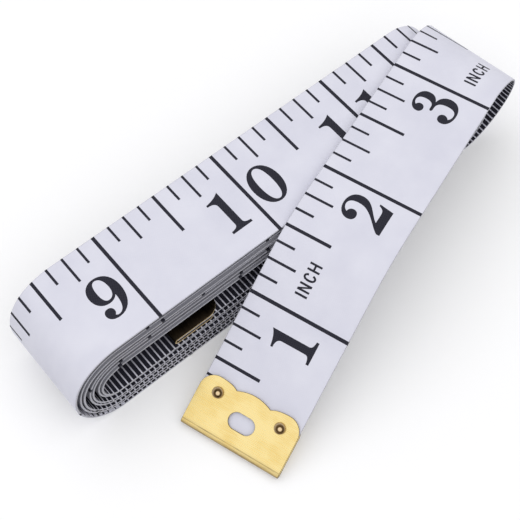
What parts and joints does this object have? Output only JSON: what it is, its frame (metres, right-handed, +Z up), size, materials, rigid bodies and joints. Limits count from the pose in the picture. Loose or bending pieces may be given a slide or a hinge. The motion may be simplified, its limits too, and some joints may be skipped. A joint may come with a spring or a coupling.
{
  "type": "cloth tape measure",
  "caption": "Flexible cloth tape measure rolled flat, its free end folded back over the roll, with a riveted brass clip on each end.",
  "frame": {"origin": "on the table under the middle of the object's bounding box", "axes": "+X along the roll to its folded end, +Y to the far edge of the tape, +Z up from the table"},
  "size_m": [0.1002, 0.048, 0.0194],
  "materials": {
    "tape": "satin coated cloth, white with dark print",
    "clip_brass": "polished sheet",
    "rivet_brass": "polished"
  },
  "bodies": {
    "roll": {"tape_winding": "tape", "inner_end_clip": "clip_brass", "inner_end_rivet_1": "rivet_brass", "inner_end_rivet_2": "rivet_brass"},
    "fold_1": {"tape_fold_1": "tape"},
    "fold_2": {"tape_fold_2": "tape"},
    "free_end": {"tape_free_end": "tape"},
    "tip": {"tape_tip": "tape", "zero_end_clip": "clip_brass", "zero_end_rivet_1": "rivet_brass", "zero_end_rivet_2": "rivet_brass"}
  },
  "joints": [
    {"name": "unroll_1", "type": "hinge", "parent": "roll", "child": "fold_1", "pos_m": [0.04353, 0.0128, 0.00147], "axis": [-0.1616, 0.9869, 0], "range_deg": [0, 59.6]},
    {"name": "unroll_2", "type": "hinge", "parent": "fold_1", "child": "fold_2", "pos_m": [0.04838, 0.01262, 0.00972], "axis": [-0.1616, 0.9869, 0], "range_deg": [0, 59.6]},
    {"name": "unroll_3", "type": "hinge", "parent": "fold_2", "child": "free_end", "pos_m": [0.04384, 0.01089, 0.01796], "axis": [-0.1616, 0.9869, 0], "range_deg": [0, 59.6]},
    {"name": "tip_straighten", "type": "hinge", "parent": "free_end", "child": "tip", "pos_m": [-0.00011, -0.00359, 0.01836], "axis": [-0.319, 0.9478, 0], "range_deg": [0, 27.8]}
  ]
}
